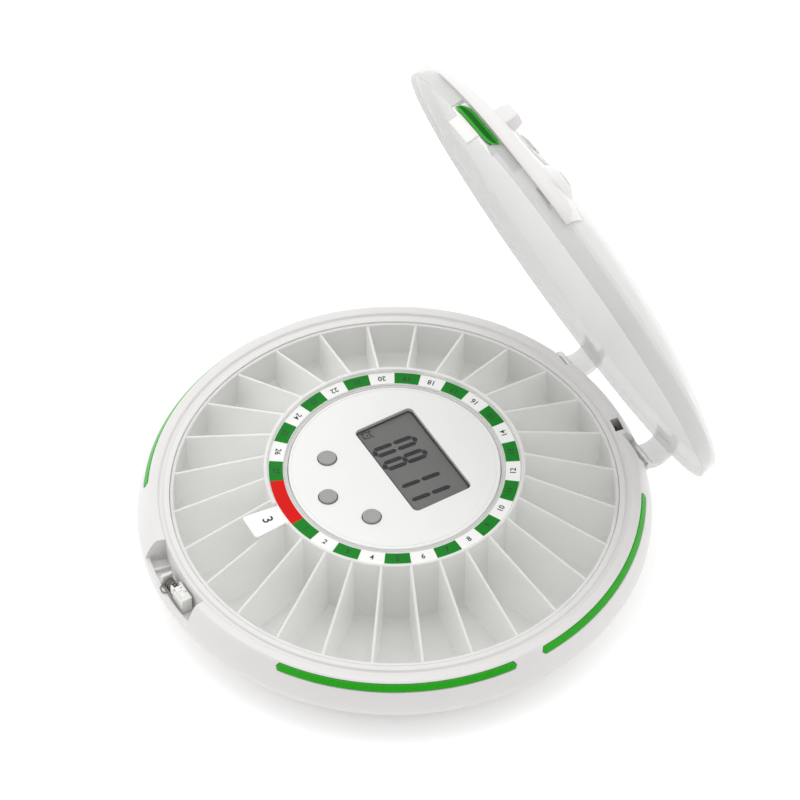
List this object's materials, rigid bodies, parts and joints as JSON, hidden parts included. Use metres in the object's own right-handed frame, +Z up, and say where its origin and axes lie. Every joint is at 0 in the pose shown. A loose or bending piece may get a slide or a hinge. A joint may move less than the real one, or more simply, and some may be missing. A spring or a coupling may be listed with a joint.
{
  "type": "electronic pill box",
  "caption": "Round automatic pill dispenser: a white base with a turning tray of pockets, a fixed hub with display and buttons, and a sprung hinged lid with lock.",
  "frame": {"origin": "on the table, under the tray's axis, at the middle of the flat face that the feet stand on", "axes": "+Z up along the tray's axis, +Y towards the lid's hinge, -Y towards the latch, +X to the right seen from the latch"},
  "size_m": [0.1998, 0.2096, 0.2047],
  "materials": {
    "white_abs": "white ABS, fine satin gloss",
    "hub_white_abs": "white ABS, satin",
    "frosted_polypropylene": "frosted translucent polypropylene",
    "frosted_polycarbonate": "frosted translucent polycarbonate",
    "green_acrylic": "clear green, gloss",
    "printed_ring": "printed card, green, white and red fields",
    "display_lens": "clear grey lens, gloss",
    "display_glass": "display cell",
    "grey_rubber": "grey silicone rubber",
    "circuit_board": "green solder mask",
    "spring_steel": "drawn spring steel",
    "plated_zinc": "zinc plated",
    "natural_nylon": "natural nylon",
    "acetal_gear": "moulded acetal",
    "black_plastic": "black plastic",
    "battery_sleeve": "printed sleeve, bare of any print",
    "dark_rubber": "dark rubber"
  },
  "bodies": {
    "base": {"base_housing": "white_abs", "base_plate": "white_abs", "battery_box": "natural_nylon", "contact_front": "spring_steel", "contact_back": "spring_steel", "drive_motor": "plated_zinc", "hub_cover": "hub_white_abs", "display_lens": "display_lens", "display_cell": "display_glass", "display_frame": "black_plastic", "circuit_board": "circuit_board", "button_mat": "grey_rubber", "buzzer": "black_plastic", "controller_chip": "black_plastic", "hinge_pin_left": "spring_steel", "hinge_pin_right": "spring_steel", "hinge_spring": "spring_steel", "latch_spring": "spring_steel", "latch_wire": "spring_steel", "battery_1": "battery_sleeve", "battery_2": "battery_sleeve", "battery_3": "battery_sleeve", "battery_4": "battery_sleeve", "foot_1": "dark_rubber", "foot_2": "dark_rubber", "foot_3": "dark_rubber", "foot_4": "dark_rubber", "base_screw_1": "plated_zinc", "base_screw_2": "plated_zinc", "base_screw_3": "plated_zinc", "base_screw_4": "plated_zinc", "light_strip_1": "green_acrylic", "light_strip_2": "green_acrylic", "light_strip_3": "green_acrylic", "light_strip_4": "green_acrylic"},
    "tray": {"pill_tray": "frosted_polypropylene", "dosage_ring": "printed_ring", "drive_ring": "acetal_gear"},
    "idler": {"idler_gear": "acetal_gear"},
    "pinion": {"motor_pinion": "acetal_gear"},
    "lid": {"lid_shell": "frosted_polycarbonate", "lid_housing": "white_abs", "latch_cover": "frosted_polycarbonate", "lock_bezel": "white_abs"},
    "press": {"press_bar": "green_acrylic"},
    "lock": {"lock_barrel": "plated_zinc", "lock_cam": "plated_zinc"},
    "pill_door": {"pill_door": "frosted_polycarbonate"},
    "battery_door": {"battery_door": "white_abs", "door_foot": "dark_rubber"},
    "catch": {"latch_catch": "natural_nylon"},
    "button_left": {"hub_button_1": "grey_rubber"},
    "button_middle": {"hub_button_2": "grey_rubber"},
    "button_right": {"hub_button_3": "grey_rubber"}
  },
  "joints": [
    {"name": "tray_spin", "type": "hinge", "parent": "base", "child": "tray", "pos_m": [0, 0, 0], "axis": [0, 0, 1], "continuous": true},
    {"name": "idler_spin", "type": "hinge", "parent": "base", "child": "idler", "pos_m": [0, 0.0345, 0.0204], "axis": [0, 0, 1], "continuous": true},
    {"name": "pinion_spin", "type": "hinge", "parent": "base", "child": "pinion", "pos_m": [0, 0.0165, 0.0204], "axis": [0, 0, 1], "continuous": true},
    {"name": "lid_open", "type": "hinge", "parent": "base", "child": "lid", "pos_m": [0, 0.0943, 0.02], "axis": [-1, 0, 0], "range_deg": [-70, 0], "stiffness_Nm_per_rad": 0.07, "springref_deg": 32.66},
    {"name": "press_in", "type": "slide", "parent": "lid", "child": "press", "axis": [0.1392, 0.3387, -0.9305], "range_m": [0, 0.0008], "stiffness_N_per_m": 600},
    {"name": "lock_turn", "type": "hinge", "parent": "lid", "child": "lock", "pos_m": [0.02414, 0.04883, 0.19053], "axis": [0, 0.9397, 0.342], "range_deg": [0, 90]},
    {"name": "pill_door_open", "type": "hinge", "parent": "lid", "child": "pill_door", "pos_m": [-0.0043, 0.06642, 0.17566], "axis": [-0.9976, 0.0239, -0.0656], "range_deg": [0, 80]},
    {"name": "battery_door_open", "type": "hinge", "parent": "base", "child": "battery_door", "pos_m": [0, -0.02505, 0.0015], "axis": [-1, 0, 0], "range_deg": [0, 90]},
    {"name": "catch_slide", "type": "slide", "parent": "base", "child": "catch", "axis": [-1, 0, 0], "range_m": [0, 0.0025], "stiffness_N_per_m": 300, "deforming": ["latch_spring"]},
    {"name": "button_left_press", "type": "slide", "parent": "base", "child": "button_left", "axis": [0, 0, -1], "range_m": [0, 0.0008], "stiffness_N_per_m": 500},
    {"name": "button_middle_press", "type": "slide", "parent": "base", "child": "button_middle", "axis": [0, 0, -1], "range_m": [0, 0.0008], "stiffness_N_per_m": 500},
    {"name": "button_right_press", "type": "slide", "parent": "base", "child": "button_right", "axis": [0, 0, -1], "range_m": [0, 0.0008], "stiffness_N_per_m": 500}
  ],
  "couplings": [
    {"joint": "idler_spin", "follows": "tray_spin", "ratio": 4.2857},
    {"joint": "pinion_spin", "follows": "tray_spin", "ratio": -6}
  ]
}
